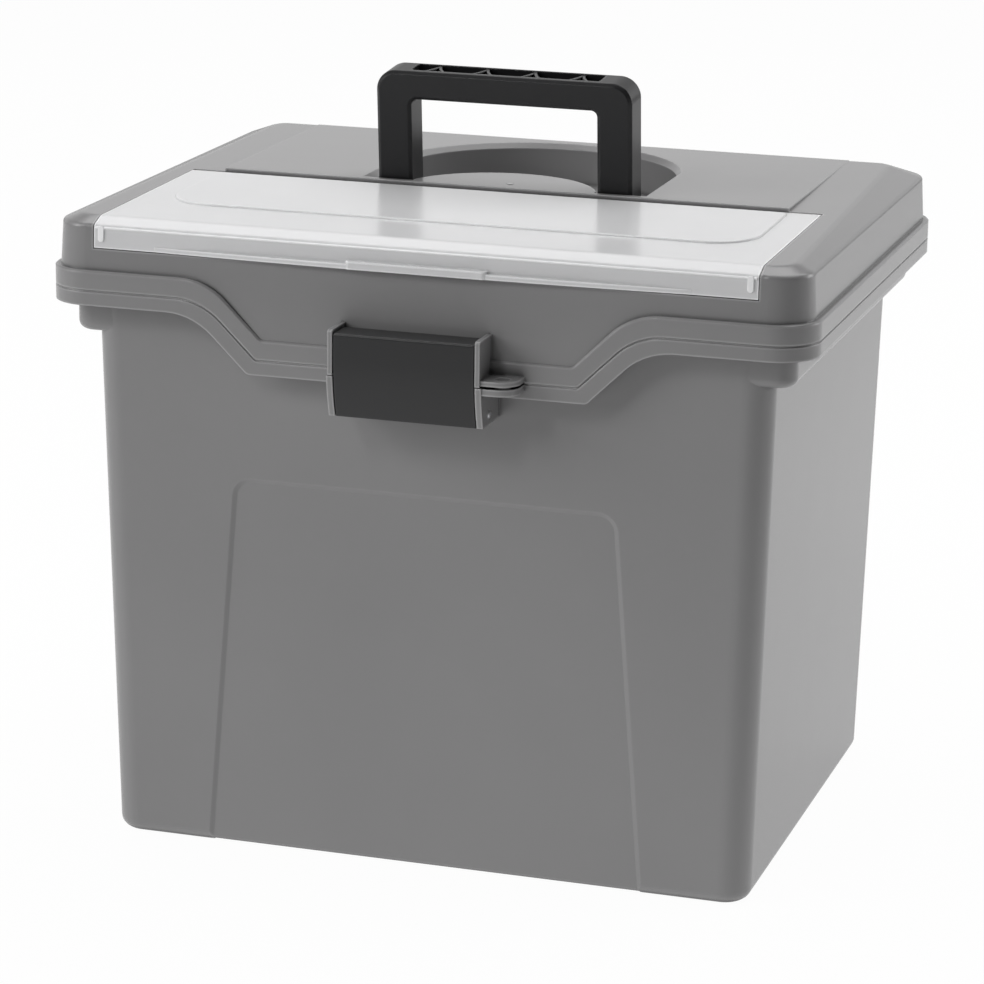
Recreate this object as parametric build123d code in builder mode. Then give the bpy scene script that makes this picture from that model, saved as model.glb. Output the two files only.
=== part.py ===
"""Portable file box: a tapered tub with an overhanging rim that dips at the front, a hinged
lid with a folding carry handle and a covered organizer, and a front latch.

Millimetres, +Z up, the front faces -Y.  The origin is under the middle of the tub, on the
plane that its feet stand on.
"""

import os
from math import atan, cos, radians, sin, sqrt, tan

from build123d import *

# ---------------------------------------------------------------- driving dimensions
# rim of the tub and flange of the lid, which share one outline
rim_length = 350.0
rim_depth = 268.2
rim_corner = 20.0
rim_drop = 6.7  # height of the tub's rim band
flange_rise = 9.2  # height of the lid's flange band
flange_edge = 0.8  # bevel of its upper edge
skirt_wall = 2.4
edge_break = 0.5  # small step on both sides of the parting line

# parting line between tub and lid, with its dip in the middle of the front
parting_height = 258.7
dip_depth = 25.1
dip_half = 73.6  # half of the level length at the bottom of the dip
dip_run = 25.6  # length of each slope
dip_upper_radius = 31.0
dip_lower_radius = 3.5
flange_step_in = 2.4  # the flange's dip corners lie this much nearer the middle
rim_step_out = 4.0  # and those of the rim's lower edge this much further out
dip_reach = 70.0  # how far back from the rim's front the dip is cut

# tub
tub_wall = 2.4
floor_thickness = 2.6
neck_inset_x = 19.4  # from the rim's outline to the body's, under the ledges
neck_inset_y = 11.6
side_taper = 5.2  # how much further in the body's foot is
front_taper = 3.5
body_corner = 12.5
base_edge_radius = 6.0
foot_height = 1.6
foot_inset = 1.5  # from the panel's edge to the foot beside it

# ledges that carry hanging files
ledge_drop = 21.2  # below the parting line
ledge_inset = 9.7  # from the rim's outline
ledge_corner = 9.0
ledge_edge_radius = 4.0
rail_height = 6.0
rail_width = 2.0
rail_end_gap = 13.0
rim_lip_height = 1.8
rim_lip_wall = 1.6

# shallow panel in the front wall
panel_half_top = 89.0
panel_half_bottom = 103.5
panel_height = 176.0
panel_depth = 1.0
panel_slope = 64.0  # of its edges, from square
panel_corner = 9.0

# lid
lid_wall = 2.4
lid_inset = 2.6  # from the flange's face to the lid's wall
lid_draft = 3.5
crease_rise = 29.3  # from the parting line to the crease
crease_radius = 2.0
shoulder_slope = 21.0
top_rise = 5.8  # from the crease to the highest part of the lid
top_rear_margin = 18.1  # the sloping top reaches full height here
top_slope = 0.69
top_edge_radius = 8.0
plateau_margin = 39.5  # from the rim's ends
plateau_front = -10.9
plateau_edge = 0.6

# organizer
cover_margin = 24.2  # from the rim's ends
cover_gap = 0.4
cover_wall = 1.9
cover_skirt = 10.2  # height of the cover's bent-down front
cover_barrel = 2.2
cover_stub_radius = 1.2
cover_stub_length = 1.9
cover_panel_overlap = 1.0  # the raised panel is this much longer than the plateau, each end
cover_panel_depth = 71.2
cover_panel_corner = 22.0
cover_panel_rise = 0.9
cover_lip_margin = 28.8
cover_lip_reach = 3.2
cover_lip_height = 2.2
cover_tab_half = 32.0
cover_tab_height = 3.4
cover_tab_reach = 0.4  # beyond the lip
cover_tab_corner = 2.0
well_depth = 19.8  # from the crease to the tray's floor
tray_wall = 2.2
tray_shelf = 3.2  # ledge that carries the cover's ends
tray_front_wall = 2.3
middle_well = 98.0
divider_wall = 2.0
well_corner = 4.0

# handle
handle_lean = 5.0
pivot_setback = 14.0  # behind the plateau's front
handle_half = 61.0
leg_width = 16.5
handle_rise = 61.2
grip_height = 13.2
handle_thick = 18.0
handle_outer_corner = 9.5
handle_inner_corner = 3.0
handle_edge = 1.5
channel_end = 16.0  # solid grip beyond each end of the channel
channel_width = 12.0
channel_shift = 0.8
channel_depth = 8.0
channel_corner = 2.0
truss_pitch = 22.9
truss_spread = 6.0
truss_wall = 1.3
truss_drop = 0.5
truss_count = 4
trunnion_radius = 3.2
trunnion_reach = 8.0
trunnion_shoulder = 5.0

# pocket that the handle folds into
pocket_side_gap = 4.6
pocket_floor_gap = 1.0
pocket_front_gap = 1.5
pocket_straight_gap = 8.3  # the sides end this far before the folded grip's edge
pocket_rear_room = 42.7  # finger room behind the folded grip
pocket_wall = 2.4
pocket_edge = 2.5  # bevel round its rim
handle_sink = 0.3  # the folded handle lies this far below the plateau
spacer_gap = 0.6
tongue_reach = 33.0
tongue_side_gap = 1.0
tongue_bulge = 2.0  # radius of its rounded end, over half of the grip's length

# latch, its pin and its brackets
latch_half = 31.8
latch_wall = 2.4
latch_stand = 15.2  # from the rim's face to the latch's
latch_rise = 19.0  # above the parting line in the dip
latch_drop = 18.6  # below it
latch_bulge = 6.4  # where its face starts to curve in, above the parting line
latch_tuck = 4.1  # how far the plate curves in at its bottom
latch_gap = 1.6  # from the rim's face to the latch's lip
latch_cheek = 2.2
latch_corner = 1.2
latch_pin_radius = 1.75
latch_pin_stand = 3.3
latch_pin_drop = 13.9
latch_barrel = 3.4
latch_web = 2.0
bracket_gap = 0.5
bracket_rise = 1.4  # above the latch
bracket_proud = 0.2  # in front of the latch
bracket_corner = 1.5
upper_bracket_wall = 2.2
lower_bracket_wall = 2.8
tab_reach = 15.5
tab_setback = 1.0
tab_corner = 9.0
upper_tab_wall = 2.2
lower_tab_wall = 3.0
upper_tab_gap = 1.0  # above the parting line in the dip
lower_tab_gap = 0.2  # below it
padlock_radius = 3.2
padlock_inset_x = 7.4  # from the tab's end
padlock_inset_y = 7.0  # from its front

# lid hinges
hinge_x = 85.0
hinge_stand = 5.4
hinge_knuckle = 4.5
hinge_pin_radius = 2.0
hinge_lid_length = 24.0
hinge_tub_length = 12.0
hinge_gap = 0.4
pin_overhang = 0.4

pin_clearance = 0.08  # radial, round every pin that turns
pin_seat = 0.04  # radial, where a pin is held

# ---------------------------------------------------------------- sizes that follow
front = -rim_depth / 2
rear = rim_depth / 2
low_parting = parting_height - dip_depth
ledge_height = parting_height - ledge_drop
ledge_length = rim_length - 2 * ledge_inset
neck_length = rim_length - 2 * neck_inset_x
neck_depth = rim_depth - 2 * neck_inset_y
base_length = neck_length - 2 * side_taper
base_depth = neck_depth - 2 * front_taper
foot_span = 2 * (panel_half_bottom - foot_inset)
crease_height = parting_height + crease_rise
lid_top = crease_height + top_rise
lid_top_rear = rear - top_rear_margin
plateau_half = rim_length / 2 - plateau_margin
cover_half = rim_length / 2 - cover_margin
cover_panel_half = plateau_half + cover_panel_overlap
cover_panel_front = plateau_front - cover_barrel * 2 - 1.8 - cover_panel_depth
cover_lip_half = cover_half - cover_lip_margin
skirt_bottom = crease_height - cover_skirt
tray_floor = crease_height - well_depth
tray_half = cover_half - tray_shelf
divider_x = (middle_well + divider_wall) / 2
pivot_y = plateau_front + pivot_setback
pivot_z = lid_top - handle_sink - handle_thick / 2
grip_half = handle_half - leg_width
grip_rise = handle_rise - grip_height
channel_half = handle_half - channel_end
slot_front = pivot_y - handle_thick / 2 - pocket_front_gap
pocket_half = handle_half + pocket_side_gap
pocket_straight = pivot_y + handle_rise - pocket_straight_gap
pocket_rear = pivot_y + handle_rise + pocket_rear_room
pocket_floor = pivot_z - handle_thick / 2 - pocket_floor_gap
tongue_rear = slot_front + tongue_reach
tongue_radius = grip_half + tongue_bulge
latch_front = front - latch_stand
latch_top = low_parting + latch_rise
latch_bottom = low_parting - latch_drop
latch_bulge_height = low_parting + latch_bulge
latch_lip_rear = front - latch_gap
latch_pin_y = front - latch_pin_stand
latch_pin_z = low_parting - latch_pin_drop
bracket_top = latch_top + bracket_rise
bracket_front = latch_front - bracket_proud
tab_front = bracket_front + tab_setback
bracket_inner = latch_half + bracket_gap
tab_end = bracket_inner + upper_bracket_wall + tab_reach
padlock_x = tab_end - padlock_inset_x
padlock_y = tab_front + padlock_inset_y
hinge_y = rear + hinge_stand
lid_run = tan(radians(lid_draft))
shoulder_run = 1 / tan(radians(shoulder_slope))

far = rim_length + parting_height  # reaches past the whole box


def wall_inset(height):
    """How far the lid's wall stands inside the flange's face at this height."""
    return lid_inset + (height - parting_height - flange_rise) * lid_run


def top_height(y):
    """Height of the lid's sloping top at this depth."""
    return lid_top - (lid_top_rear - y) * tan(radians(top_slope))


def dip_outline(level, step_in=0.0):
    """Points of a line that runs level across the front and dips in the middle."""
    half = dip_half - step_in
    return [
        (-far, level),
        (-half - dip_run, level),
        (-half, level - dip_depth),
        (half, level - dip_depth),
        (half + dip_run, level),
        (far, level),
    ]


def below_dip(level, step_in=0.0):
    """Everything below a level that dips behind the front of the rim."""
    radii = [dip_upper_radius, dip_lower_radius, dip_lower_radius, dip_upper_radius]
    points = dip_outline(level, step_in)
    with BuildPart() as solid:
        with BuildSketch(Plane.XZ.offset(-front - dip_reach)):
            with BuildLine():
                FilletPolyline(points, radius=radii)
                Polyline(points[-1], (far, -far), (-far, -far), points[0])
            make_face()
        extrude(amount=far)
        with BuildSketch(Plane.XY.offset(-far)):
            with Locations((0, front + dip_reach)):
                Rectangle(2 * far, far, align=(Align.CENTER, Align.MIN))
        extrude(amount=far + level)
    return solid.part


def dip_band(low, high, low_step=0.0, high_step=0.0):
    """The layer between two dipping levels."""
    with BuildPart() as band:
        add(below_dip(high, high_step))
        add(below_dip(low, low_step), mode=Mode.SUBTRACT)
    return band.part


def block(length, depth, corner, low, high):
    """An upright block with rounded corners, centred on the box."""
    with BuildPart() as solid:
        with BuildSketch(Plane.XY.offset(low)):
            RectangleRounded(length, depth, corner)
        extrude(amount=high - low)
    return solid.part


def tapered(low, low_size, high, high_size):
    """A block whose rounded outline changes evenly from one height to another."""
    with BuildPart() as solid:
        with BuildSketch(Plane.XY.offset(low)):
            RectangleRounded(*low_size)
        with BuildSketch(Plane.XY.offset(high)):
            RectangleRounded(*high_size)
        loft(ruled=True)
    return solid.part


def tub_size(height, inset=0.0):
    """Length and depth of the tub's tapered body at this height."""
    share = height / ledge_height
    length = base_length + 2 * side_taper * share
    depth = base_depth + 2 * front_taper * share
    return (length - 2 * inset, depth - 2 * inset)


def tub_body(low, high, inset=0.0):
    """The tapered body between two heights, with rounded corners, or its inside."""
    with BuildPart() as solid:
        for plane, part in ((Plane.XZ, 0), (Plane.YZ, 1)):
            foot = tub_size(low, inset)[part] / 2
            head = tub_size(high, inset)[part] / 2
            with BuildSketch(plane.offset(-far)):
                with BuildLine():
                    Polyline(
                        (-foot, low), (foot, low), (head, high), (-head, high),
                        close=True,
                    )
                make_face()
            extrude(amount=2 * far, mode=(Mode.ADD, Mode.INTERSECT)[part])
        upright = solid.edges().filter_by(
            lambda e: e.bounding_box().size.Z > (high - low) / 2
        )
        fillet(upright, body_corner - inset)
    return solid.part


def lid_size(height, inset=0.0):
    """Outline of the lid's wall at this height."""
    inward = wall_inset(height) + inset
    return (rim_length - 2 * inward, rim_depth - 2 * inward, rim_corner - inward)


def above_top(drop=0.0):
    """Everything above the lid's sloping top, or above a level a little below it."""
    with BuildPart() as solid:
        with BuildSketch(Plane.YZ.offset(-far)):
            with BuildLine():
                Polyline(
                    (-far, top_height(-far) - drop),
                    (far, top_height(far) - drop),
                    (far, far + far),
                    (-far, far + far),
                    close=True,
                )
            make_face()
        extrude(amount=2 * far)
    return solid.part


def cylinder_x(radius, y, z, left, right):
    """A cylinder along X."""
    with BuildPart() as solid:
        with BuildSketch(Plane.YZ.offset(left)):
            with Locations((y, z)):
                Circle(radius)
        extrude(amount=right - left)
    return solid.part


def slice_x(points, left, right, radius=0.0):
    """A plate square to X, from its outline in Y and Z."""
    with BuildPart() as solid:
        with BuildSketch(Plane.YZ.offset(left)) as profile:
            with BuildLine():
                Polyline(*points, close=True)
            make_face()
            if radius:
                fillet(profile.vertices(), radius)
        extrude(amount=right - left)
    return solid.part


# ---------------------------------------------------------------- hinges of the lid
def knuckle_spans(side):
    """Stations along X of one hinge: the lid's knuckle and the tub's two."""
    middle = side * hinge_x
    half = hinge_lid_length / 2
    outer = half + hinge_gap
    return (
        (middle - half, middle + half),
        (middle - outer - hinge_tub_length, middle - outer),
        (middle + outer, middle + outer + hinge_tub_length),
    )


def knuckle(span, low, high):
    """A knuckle with the web that ties it to the rim or the flange."""
    with BuildPart() as solid:
        add(cylinder_x(hinge_knuckle, hinge_y, parting_height, *span))
        with BuildSketch(Plane.YZ.offset(span[0])):
            with BuildLine():
                Polyline(
                    (rear - skirt_wall / 2, low),
                    (hinge_y, low),
                    (hinge_y, high),
                    (rear - skirt_wall / 2, high),
                    close=True,
                )
            make_face()
        extrude(amount=span[1] - span[0])
        add(
            cylinder_x(
                hinge_pin_radius + pin_clearance, hinge_y, parting_height, *span
            ),
            mode=Mode.SUBTRACT,
        )
    return solid.part


# ---------------------------------------------------------------- tub
def tub_outside():
    """Body and file ledges, cut off at the parting surface."""
    top = parting_height + rim_lip_height
    with BuildPart() as body:
        add(tub_body(0, top))
        fillet(body.faces().sort_by(Axis.Z)[0].edges(), base_edge_radius)
    with BuildPart() as ledges:
        depth = neck_depth - 0.4
        add(block(ledge_length, depth, ledge_corner, ledge_height, top))
        fillet(ledges.faces().sort_by(Axis.Z)[0].edges(), ledge_edge_radius)
    with BuildPart() as outside:
        add(body.part)
        add(ledges.part)
        add(below_dip(parting_height), mode=Mode.INTERSECT)
    return outside.part


def edge_groove(low, high):
    """The shallow step that both parts have along the parting line."""
    bottom = low_parting - 1
    top = parting_height + 1
    inner = (rim_length - 2 * edge_break, rim_depth - 2 * edge_break)
    with BuildPart() as groove:
        add(block(rim_length + 2, rim_depth + 2, rim_corner + 1, bottom, top))
        add(
            block(*inner, rim_corner - edge_break, bottom, top),
            mode=Mode.SUBTRACT,
        )
        add(dip_band(low, high), mode=Mode.INTERSECT)
    return groove.part


def rim():
    """Overhanging rim: a level top ledge and a skirt that turns down from it."""
    high = parting_height
    top = high + far / 10
    low = high - dip_depth - rim_drop - 1
    with BuildPart() as top_ledge:
        add(block(rim_length, rim_depth, rim_corner, low, top))
        add(dip_band(high - skirt_wall, high), mode=Mode.INTERSECT)
    with BuildPart() as skirt:
        add(block(rim_length, rim_depth, rim_corner, low, top))
        inner = (rim_length - 2 * skirt_wall, rim_depth - 2 * skirt_wall)
        add(
            block(*inner, rim_corner - skirt_wall, low, top),
            mode=Mode.SUBTRACT,
        )
        add(dip_band(high - rim_drop, high, -rim_step_out), mode=Mode.INTERSECT)
    with BuildPart() as solid:
        add(top_ledge.part)
        add(skirt.part)
        add(edge_groove(high - edge_break, high), mode=Mode.SUBTRACT)
    return solid.part


def rim_lip():
    """Low lip round the mouth, inside the lid."""
    inner_length = ledge_length - 2 * tub_wall
    inner_depth = neck_depth - 2 * tub_wall
    corner = ledge_corner - tub_wall
    top = parting_height + far / 10
    low = low_parting - 2
    with BuildPart() as lip:
        add(
            block(
                inner_length + 2 * rim_lip_wall,
                inner_depth + 2 * rim_lip_wall,
                corner + rim_lip_wall,
                low,
                top,
            )
        )
        add(
            dip_band(parting_height - 1, parting_height + rim_lip_height),
            mode=Mode.INTERSECT,
        )
    return lip.part


def tub_inside():
    """The file space, with the ledges' width above them."""
    floor = foot_height + floor_thickness
    top = parting_height + rim_lip_height + 1
    depth = neck_depth - 2 * tub_wall
    with BuildPart() as inside:
        add(tub_body(floor, top, tub_wall))
        add(
            block(
                ledge_length - 2 * tub_wall,
                depth,
                ledge_corner - tub_wall,
                ledge_height + tub_wall,
                top,
            )
        )
        rail_x = tub_size(ledge_height + tub_wall, tub_wall)[0] / 2
        rail_length = neck_depth - 2 * (tub_wall + rail_end_gap)
        for side in (-1, 1):
            with BuildSketch(Plane.XY.offset(ledge_height)):
                with Locations((side * (rail_x + rail_width / 2), 0)):
                    Rectangle(rail_width, rail_length)
            extrude(amount=tub_wall + rail_height, mode=Mode.SUBTRACT)
    return inside.part


def front_panel():
    """The shallow panel that is sunk into the sloping front wall."""
    lean = atan(front_taper / ledge_height)
    plane = Plane(
        origin=(0, -base_depth / 2, 0),
        x_dir=(1, 0, 0),
        z_dir=(0, -cos(lean), -sin(lean)),
    )
    with BuildPart() as panel:
        with BuildSketch(plane) as outline:
            with BuildLine():
                Polyline(
                    (-panel_half_bottom, -foot_height),
                    (-panel_half_top, panel_height),
                    (panel_half_top, panel_height),
                    (panel_half_bottom, -foot_height),
                    close=True,
                )
            make_face()
            fillet(outline.vertices().group_by(Axis.Y)[-1], panel_corner)
        extrude(amount=-panel_depth, taper=panel_slope)
    return panel.part


def latch_face(shift=0.0):
    """The latch's curved front in Y and Z: top, start of the curve, middle, bottom."""
    drop = latch_bulge_height - latch_bottom
    radius = (drop**2 + latch_tuck**2) / (2 * latch_tuck)
    half = drop / 2
    tuck = radius - sqrt(radius**2 - half**2)
    return [
        (latch_front + shift, latch_bulge_height),
        (latch_front + tuck + shift, latch_bulge_height - half),
        (latch_front + latch_tuck + shift, latch_bottom),
    ]


def lower_bracket(side):
    """Bracket on the tub: carries one end of the latch pin."""
    left = bracket_inner if side > 0 else -bracket_inner - lower_bracket_wall
    start, middle, end = latch_face(bracket_front - latch_front)
    wall = -tub_size(latch_bottom)[1] / 2
    with BuildPart() as bracket:
        with BuildSketch(Plane.YZ.offset(left)):
            with BuildLine():
                ThreePointArc(start, middle, end)
                Polyline(
                    end, (wall + tub_wall / 2, latch_bottom),
                    (wall + tub_wall / 2, start[1]), start,
                )
            make_face()
        extrude(amount=lower_bracket_wall)
        with BuildSketch(Plane.XY.offset(low_parting)):
            Rectangle(far, far)
        extrude(amount=far, mode=Mode.SUBTRACT)
    return bracket.part


def padlock_tab(low, height, inner):
    """A tab beside the right bracket with a hole for a padlock's shackle."""
    with BuildPart() as tab:
        with BuildSketch(Plane.XY.offset(low)) as outline:
            with BuildLine():
                Polyline(
                    (inner - 1, front + 1),
                    (inner - 1, tab_front),
                    (tab_end, tab_front),
                    (tab_end, front + 1),
                    close=True,
                )
            make_face()
            fillet(outline.vertices().sort_by(Axis.X)[-2:].sort_by(Axis.Y)[0], tab_corner)
            with Locations((padlock_x, padlock_y)):
                Circle(padlock_radius, mode=Mode.SUBTRACT)
        extrude(amount=height)
    return tab.part


with BuildPart() as tub:
    add(tub_outside())
    add(rim())
    add(rim_lip())
    add(tub_inside(), mode=Mode.SUBTRACT)
    add(front_panel(), mode=Mode.SUBTRACT)
    with BuildSketch(Plane.XY):
        Rectangle(foot_span, far)
    extrude(amount=foot_height, mode=Mode.SUBTRACT)
    for side in (-1, 1):
        add(lower_bracket(side))
        for span in knuckle_spans(side)[1:]:
            add(knuckle(span, parting_height - rim_drop, parting_height))
    add(
        padlock_tab(
            low_parting - lower_tab_gap - lower_tab_wall, lower_tab_wall,
            bracket_inner + lower_bracket_wall,
        )
    )
    pin_half = bracket_inner + lower_bracket_wall
    add(
        cylinder_x(
            latch_pin_radius + pin_seat, latch_pin_y, latch_pin_z,
            -pin_half, pin_half,
        ),
        mode=Mode.SUBTRACT,
    )
tub.part.label = "tub"


# ---------------------------------------------------------------- lid
def crease_level(inset):
    """Height of the crease between wall and shoulder, this far inside the lid."""
    slope = radians(shoulder_slope)
    return crease_height + inset * (tan(slope) - 1 / cos(slope))


def lid_solid(inset=0.0, low=low_parting - 2.0):
    """Wall, shoulder and sloping top of the lid, or the same shape further in."""
    crease = crease_level(inset)
    rise = top_height(lid_top_rear) - crease + 1
    length, depth, corner = lid_size(crease, inset)
    inward = rise * shoulder_run
    with BuildPart() as solid:
        add(tapered(low, lid_size(low, inset), crease, (length, depth, corner)))
        with BuildSketch(Plane.XY.offset(crease)):
            RectangleRounded(length, depth, corner)
        with BuildSketch(Plane.XY.offset(crease + rise)):
            RectangleRounded(
                length - 2 * inward, depth - 2 * inward, corner - inward * 0.6
            )
        loft(ruled=True)
        add(above_top(inset), mode=Mode.SUBTRACT)
    return solid.part


def rounded_lid():
    """The lid's outside above the flange, with its crease and top edge rounded."""
    with BuildPart() as solid:
        add(lid_solid())
        edges = solid.edges().filter_by(
            lambda e: abs(e.bounding_box().min.Z - crease_height) < 0.01
            and abs(e.bounding_box().max.Z - crease_height) < 0.01
        )
        fillet(edges, crease_radius)
        top = solid.faces().sort_by(Axis.Z)[-1]
        fillet(top.outer_wire().edges(), top_edge_radius)
    return solid.part


def on_outline(point):
    """Whether a point lies on the upright outer face of the flange."""
    past_x = abs(point.X) - (rim_length / 2 - rim_corner)
    past_y = abs(point.Y) - (rim_depth / 2 - rim_corner)
    reach = sqrt(past_x**2 + past_y**2) if min(past_x, past_y) > 0 else max(past_x, past_y)
    return reach > rim_corner - 0.01


def above_middle(point):
    """Height of a point above the flange's middle, with the dip's corners left sharp."""
    share = min(max((abs(point.X) - dip_half + flange_step_in) / dip_run, 0), 1)
    dip = dip_depth * (1 - share) if point.Y < front + dip_reach else 0
    return point.Z - (parting_height - dip + flange_rise / 2)


def flange():
    """The lid's flange band, which follows the dip and has a bevelled upper edge."""
    low = low_parting - 1
    high = parting_height + flange_rise
    with BuildPart() as band:
        add(block(rim_length, rim_depth, rim_corner, low, high + 1))
        add(dip_band(parting_height, high, 0, flange_step_in), mode=Mode.INTERSECT)
        upper = band.edges().filter_by(
            lambda e: on_outline(e @ 0.5) and above_middle(e @ 0.5) > 1
        )
        chamfer(upper, flange_edge)
    return band.part


def organizer_recess():
    """Space above the tray that the cover and its bent-down front fill."""
    slope = radians(shoulder_slope)
    drop = cover_wall + cover_gap
    crease_y = front + wall_inset(crease_height)
    edge_rise = top_height(crease_y) - crease_height
    edge_y = crease_y + edge_rise / (tan(slope) - tan(radians(top_slope)))
    inner_y = crease_y + drop
    inner_z = crease_height + (inner_y - crease_y) * tan(slope) - drop / cos(slope)
    ledge_z = skirt_bottom - cover_gap
    points = [
        (plateau_front, top_height(plateau_front) - drop),
        (edge_y, top_height(edge_y) - drop),
        (inner_y, inner_z),
        (inner_y, ledge_z),
        (front - 5, ledge_z),
        (front - 5, lid_top + 9),
        (plateau_front, lid_top + 9),
    ]
    half = cover_half + cover_gap
    return slice_x(points, -half, half)


def hinge_line():
    """Depth and height of the cover's own hinge."""
    y = plateau_front - cover_barrel - 0.5
    return y, top_height(y) - cover_barrel


def tray():
    """Solid that the organizer's wells are cut into, with the bar behind them."""
    half = tray_half + 2 * tray_wall
    back = plateau_front - cover_barrel * 2 - 1.2
    with BuildPart() as solid:
        with BuildSketch(Plane.XY.offset(tray_floor - tray_wall)):
            with Locations((0, front)):
                Rectangle(
                    2 * half, back + tray_wall - front,
                    align=(Align.CENTER, Align.MIN),
                )
        extrude(amount=far)
        with BuildSketch(Plane.XY.offset(crease_height - 2.8)):
            with Locations((0, back - 1)):
                Rectangle(
                    2 * half, slot_front - back + 1,
                    align=(Align.CENTER, Align.MIN),
                )
        extrude(amount=far)
    return solid.part


def wells():
    """The three open wells of the organizer."""
    recess_front = front + wall_inset(crease_height) + cover_wall + cover_gap
    low = recess_front + tray_front_wall
    high = plateau_front - cover_barrel * 2 - 1.2
    stations = [-tray_half, -divider_x, divider_x, tray_half]
    with BuildPart() as solid:
        for left, right in zip(stations[:-1], stations[1:]):
            start = left + (divider_wall / 2 if left > -tray_half else 0)
            end = right - (divider_wall / 2 if right < tray_half else 0)
            with BuildSketch(Plane.XY.offset(tray_floor)):
                with Locations(((start + end) / 2, (low + high) / 2)):
                    RectangleRounded(end - start, high - low, well_corner)
            extrude(amount=lid_top - tray_floor)
    return solid.part


def pocket_outline(grow=0.0):
    """Plan of the handle's pocket: straight sides and a rounded rear."""
    with BuildSketch() as outline:
        with BuildLine():
            half = pocket_half + grow
            ThreePointArc(
                (-half, pocket_straight), (0, pocket_rear + grow),
                (half, pocket_straight),
            )
            Polyline(
                (half, pocket_straight), (half, slot_front - grow),
                (-half, slot_front - grow), (-half, pocket_straight),
            )
        make_face()
    return outline.sketch


def tongue_outline(shrink=0.0):
    """Plan of the tongue that stands between the legs of the handle."""
    half = grip_half - tongue_side_gap
    middle = tongue_rear - tongue_radius
    radius = tongue_radius - shrink
    with BuildSketch() as outline:
        with Locations((0, middle)):
            Circle(radius)
        with Locations((0, slot_front - pocket_wall)):
            Rectangle(
                2 * (half - shrink), far, align=(Align.CENTER, Align.MIN),
                mode=Mode.INTERSECT,
            )
    return outline.sketch


def prism(sketch, low, high):
    """An upright solid on a plan."""
    with BuildPart() as solid:
        with BuildSketch(Plane.XY.offset(low)):
            add(sketch)
        extrude(amount=high - low)
    return solid.part


def handle_pocket():
    """The space that the folded handle lies in, round the tongue."""
    with BuildPart() as solid:
        add(prism(pocket_outline(), pocket_floor, lid_top + 1))
        with BuildSketch(Plane.XY.offset(lid_top)):
            add(pocket_outline(pocket_edge))
            with Locations((0, slot_front)):
                Rectangle(
                    far, far, align=(Align.CENTER, Align.MIN), mode=Mode.INTERSECT
                )
        extrude(amount=-pocket_edge, taper=45)
        add(
            prism(tongue_outline(), pocket_floor - 1, lid_top + 1),
            mode=Mode.SUBTRACT,
        )
    return solid.part


def pocket_shell():
    """Walls and floor of the pocket and of its tongue."""
    with BuildPart() as solid:
        add(
            prism(
                pocket_outline(pocket_wall), pocket_floor - pocket_wall, lid_top + 9
            )
        )
        add(
            prism(
                tongue_outline(pocket_wall), pocket_floor - pocket_wall,
                lid_top - lid_wall,
            ),
            mode=Mode.SUBTRACT,
        )
    return solid.part


def plateau():
    """Level panel on the lid's top, which fades into it at the rear."""
    points = [
        (plateau_front, crease_height - 2),
        (lid_top_rear, crease_height - 2),
        (lid_top_rear, lid_top),
        (plateau_front, lid_top),
    ]
    with BuildPart() as solid:
        add(slice_x(points, -plateau_half, plateau_half))
        top = solid.faces().sort_by(Axis.Z)[-1]
        edges = top.edges().sort_by(Axis.Y)[:-1]
        fillet(edges, plateau_edge)
    return solid.part


def lid_cavity():
    """Everything inside the lid that is empty."""
    with BuildPart() as hollow:
        add(lid_solid(lid_wall))
        add(tray(), mode=Mode.SUBTRACT)
        add(pocket_shell(), mode=Mode.SUBTRACT)
        for side in (-1, 1):
            inner = side * (pocket_half + pocket_wall / 2)
            outer = side * (pocket_half + pocket_wall + trunnion_length() / 2)
            left, right = sorted((inner, outer))
            boss = trunnion_radius * 2
            add(
                cylinder_x(boss, pivot_y, pivot_z, left, right),
                mode=Mode.SUBTRACT,
            )
    return hollow.part


def trunnion_length():
    """How far each trunnion runs into the wall of the pocket."""
    return handle_half + trunnion_reach - pocket_half


def upper_bracket(side):
    """Bracket on the lid that stands beside the latch."""
    left = bracket_inner if side > 0 else -bracket_inner - upper_bracket_wall
    low = low_parting + edge_break
    wall = front + wall_inset(bracket_top) + lid_wall / 2
    with BuildPart() as bracket:
        with BuildSketch(Plane.YZ.offset(left)) as profile:
            with BuildLine():
                Polyline(
                    (bracket_front, low),
                    (bracket_front, bracket_top),
                    (wall, bracket_top),
                    (wall, low),
                    close=True,
                )
            make_face()
            corner = profile.vertices().group_by(Axis.X)[0].sort_by(Axis.Y)[-1]
            fillet(corner, bracket_corner)
        extrude(amount=upper_bracket_wall)
    return bracket.part


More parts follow.
